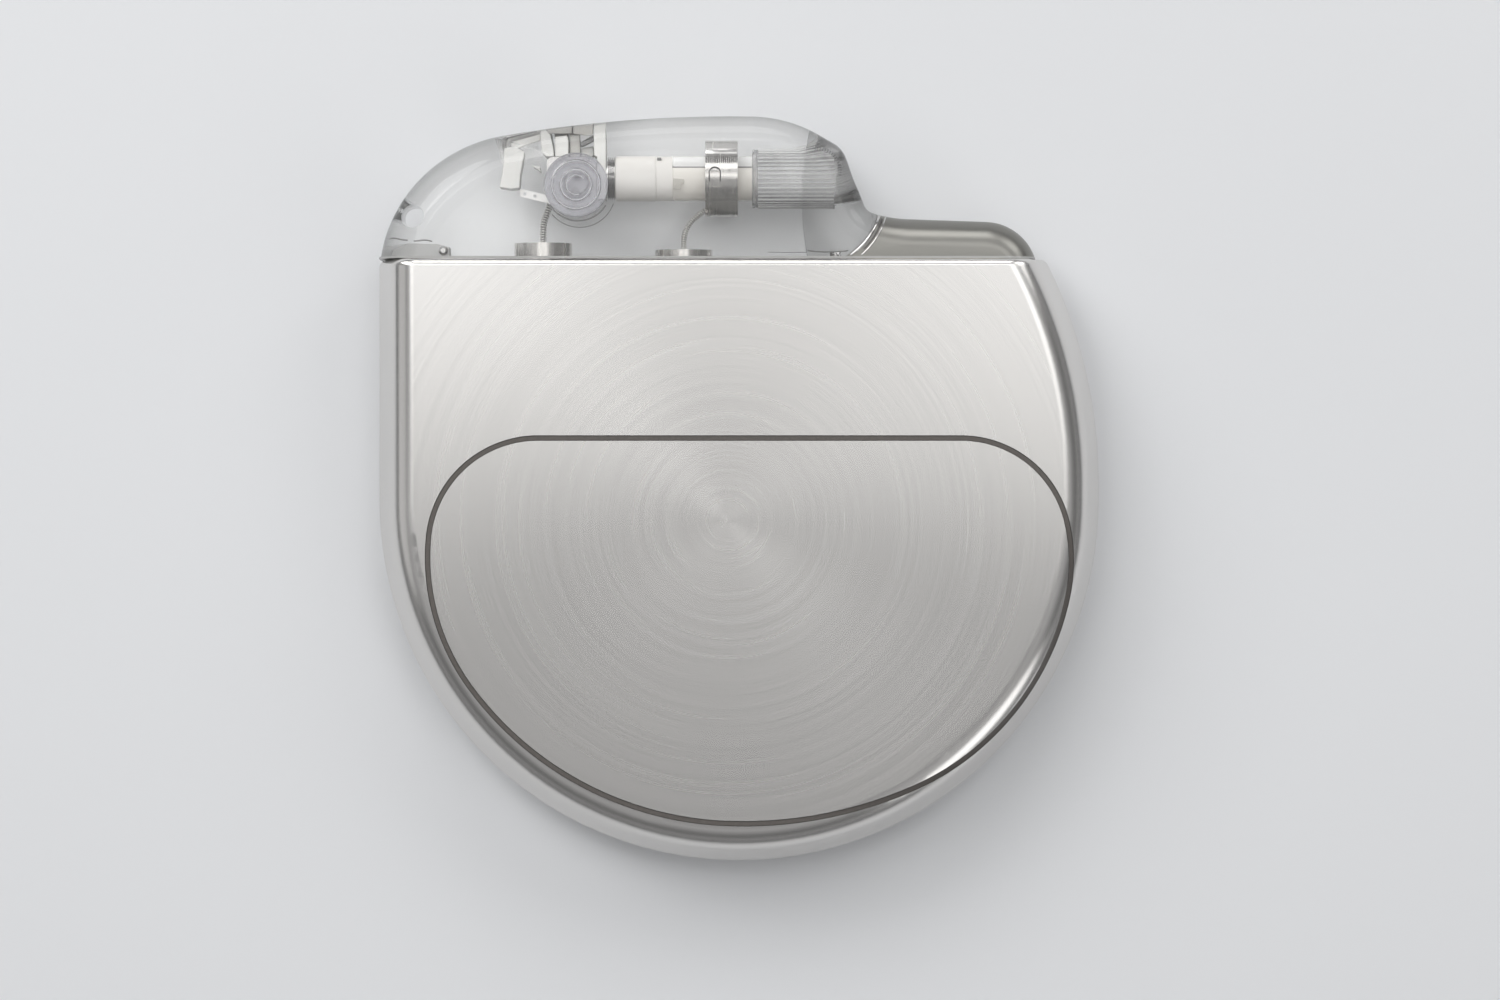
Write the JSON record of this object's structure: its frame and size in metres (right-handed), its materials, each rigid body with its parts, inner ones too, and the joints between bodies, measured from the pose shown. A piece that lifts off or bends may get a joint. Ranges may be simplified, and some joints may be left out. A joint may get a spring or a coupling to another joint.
{
  "type": "cardiac pacemaker",
  "caption": "Flat rounded metal can with a clear moulded header that holds a stepped lead port, its contacts and a set screw under a seal plug.",
  "frame": {"origin": "on the flat rear face, at the centre of the can's round part", "axes": "+X out of the lead port, +Y from the can towards the header, +Z out of the front face"},
  "size_m": [0.0464, 0.0479, 0.007],
  "materials": {
    "shell": "circular brushed titanium, satin shoulder",
    "tail": "satin titanium",
    "titanium": "machined titanium",
    "contact": "turned stainless alloy",
    "bright_wire": "drawn bright alloy wire",
    "platinum": "drawn platinum alloy",
    "resin": "clear polished resin",
    "clear_tube": "clear moulded polymer",
    "silicone": "translucent silicone",
    "carrier": "translucent off-white moulding",
    "spacer": "matt white polymer",
    "adhesive": "thin clear adhesive film",
    "ceramic": "brazed alumina",
    "seal_glass": "glass to metal seal",
    "frame_plastic": "moulded natural polymer",
    "liner": "amber polyimide film",
    "cell_steel": "drawn stainless steel",
    "lithium": "dull lithium metal",
    "cathode": "pressed dark cathode mix",
    "separator": "white porous film",
    "board": "white alumina board with gold tracks",
    "chip": "black moulded package",
    "crystal": "plated metal can",
    "tantalum": "yellow moulded case",
    "chip_part": "fired ceramic with plated ends",
    "copper": "enamelled copper winding",
    "ferrite": "dark ferrite",
    "switch_glass": "green tinted glass capsule",
    "nickel": "nickel ribbon",
    "getter": "porous desiccant"
  },
  "bodies": {
    "device": {"front_shell": "shell", "rear_shell": "shell", "weld_band": "titanium", "tip_ferrule": "titanium", "ring_ferrule": "titanium", "tip_insulator": "ceramic", "ring_insulator": "ceramic", "tip_pin": "platinum", "ring_pin": "platinum", "tip_wire": "bright_wire", "ring_wire": "bright_wire", "tip_block": "contact", "seal_plug": "silicone", "block_carrier": "carrier", "tip_strap": "bright_wire", "spacer": "spacer", "connector_tubes": "clear_tube", "ring_contact": "contact", "ring_spring": "platinum", "port_sleeve": "clear_tube", "header_anchor": "titanium", "anchor_rivet": "titanium", "header_stud": "titanium", "bond_line": "adhesive", "header_body": "resin", "port_nose": "resin", "tail_piece": "tail", "module_frame": "frame_plastic", "front_liner": "liner", "rear_liner": "liner", "battery_case": "cell_steel", "battery_lid": "cell_steel", "battery_seal": "seal_glass", "battery_terminal": "platinum", "battery_anode": "lithium", "battery_separator": "separator", "battery_cathode": "cathode", "battery_tabs": "nickel", "tip_ribbon": "nickel", "ring_ribbon": "nickel", "circuit_board": "board", "processor_chip": "chip", "memory_chip": "chip", "sensor_chip": "chip", "timing_crystal": "crystal", "tantalum_capacitors": "tantalum", "chip_components": "chip_part", "telemetry_core": "ferrite", "telemetry_coil": "copper", "magnet_switch": "switch_glass", "getter_pad": "getter"},
    "screw": {"set_screw": "titanium"}
  },
  "joints": [
    {"name": "set_screw_slide", "type": "slide", "parent": "device", "child": "screw", "axis": [0, 0, -1], "range_m": [0, 0.001]}
  ]
}
